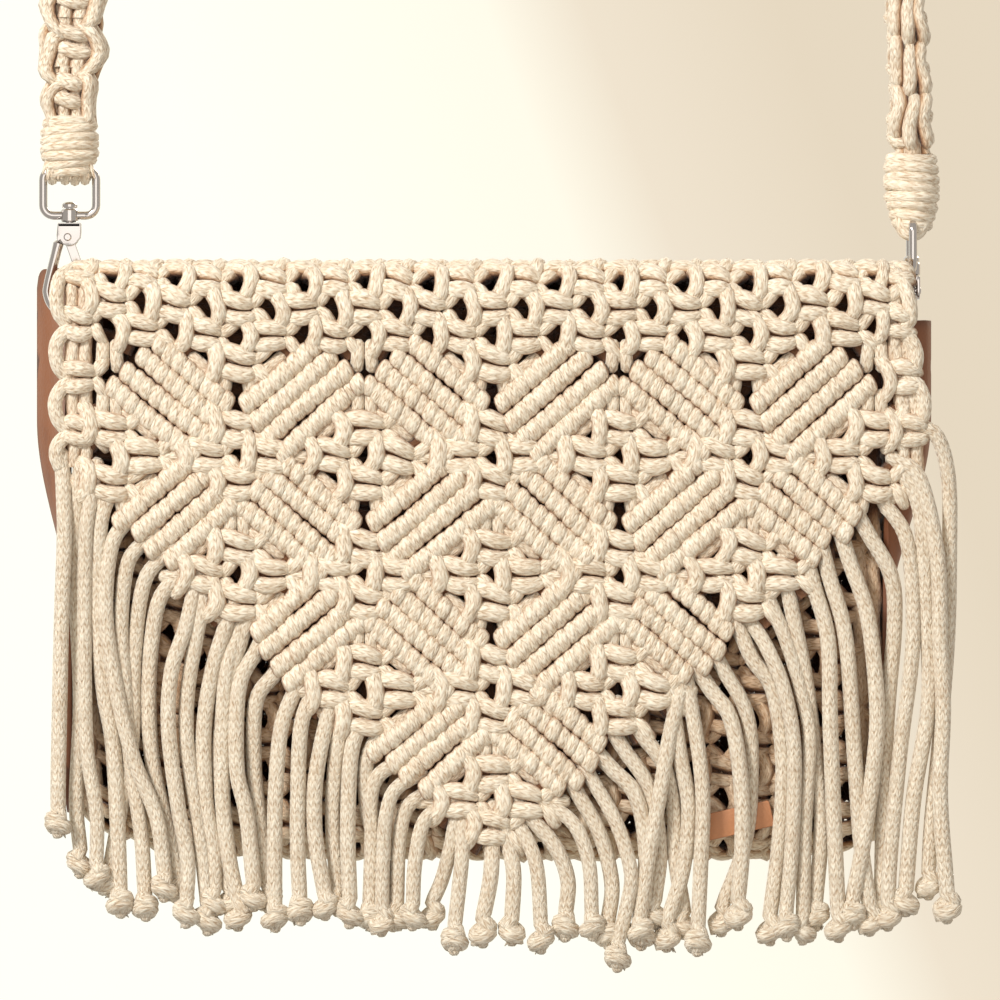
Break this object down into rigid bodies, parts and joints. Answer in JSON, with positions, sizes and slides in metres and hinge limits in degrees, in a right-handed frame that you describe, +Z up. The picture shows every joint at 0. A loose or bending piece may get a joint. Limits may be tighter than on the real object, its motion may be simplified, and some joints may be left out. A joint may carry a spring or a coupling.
{
  "type": "macrame shoulder bag",
  "caption": "Knotted cotton shoulder bag with an open-work fringed flap over a hollow pouch, leather ends, and a thick knotted strap on swivel snap hooks.",
  "frame": {"origin": "the underside of the strap's arch, where the bag hangs from a peg or a shoulder", "axes": "+Z up, the front of the flap faces -Y, +X to the right seen from the front"},
  "size_m": [0.2932, 0.0513, 0.6999],
  "materials": {
    "cotton": "braided cotton cord",
    "leather": "smooth brown leather",
    "tan": "natural tan leather",
    "nickel": "polished nickel plate"
  },
  "bodies": {
    "bag": {"flap": "cotton", "fringe": "cotton", "pouch": "cotton", "strap": "cotton", "whipping_left": "cotton", "whipping_right": "cotton", "gusset_left": "leather", "gusset_right": "leather", "label": "tan", "ring_left": "nickel", "ring_right": "nickel"},
    "hook_left": {"hook_left": "nickel"},
    "gate_left": {"gate_left": "nickel"},
    "hook_right": {"hook_right": "nickel"},
    "gate_right": {"gate_right": "nickel"}
  },
  "joints": [
    {"name": "swivel_left", "type": "hinge", "parent": "bag", "child": "hook_left", "pos_m": [-0.1365, 0, -0.4443], "axis": [0, 0, 1], "range_deg": [-8, 8]},
    {"name": "latch_left", "type": "hinge", "parent": "hook_left", "child": "gate_left", "pos_m": [-0.137, 0, -0.4513], "axis": [0, 1, 0], "range_deg": [0, 10], "stiffness_Nm_per_rad": 0.1, "springref_deg": -11.46},
    {"name": "swivel_right", "type": "hinge", "parent": "bag", "child": "hook_right", "pos_m": [0.1356, 0, -0.4616], "axis": [0, 0, 1], "range_deg": [-8, 8]},
    {"name": "latch_right", "type": "hinge", "parent": "hook_right", "child": "gate_right", "pos_m": [0.1356, -0.0005, -0.4686], "axis": [-1, 0, 0], "range_deg": [0, 10], "stiffness_Nm_per_rad": 0.1, "springref_deg": -11.46}
  ]
}
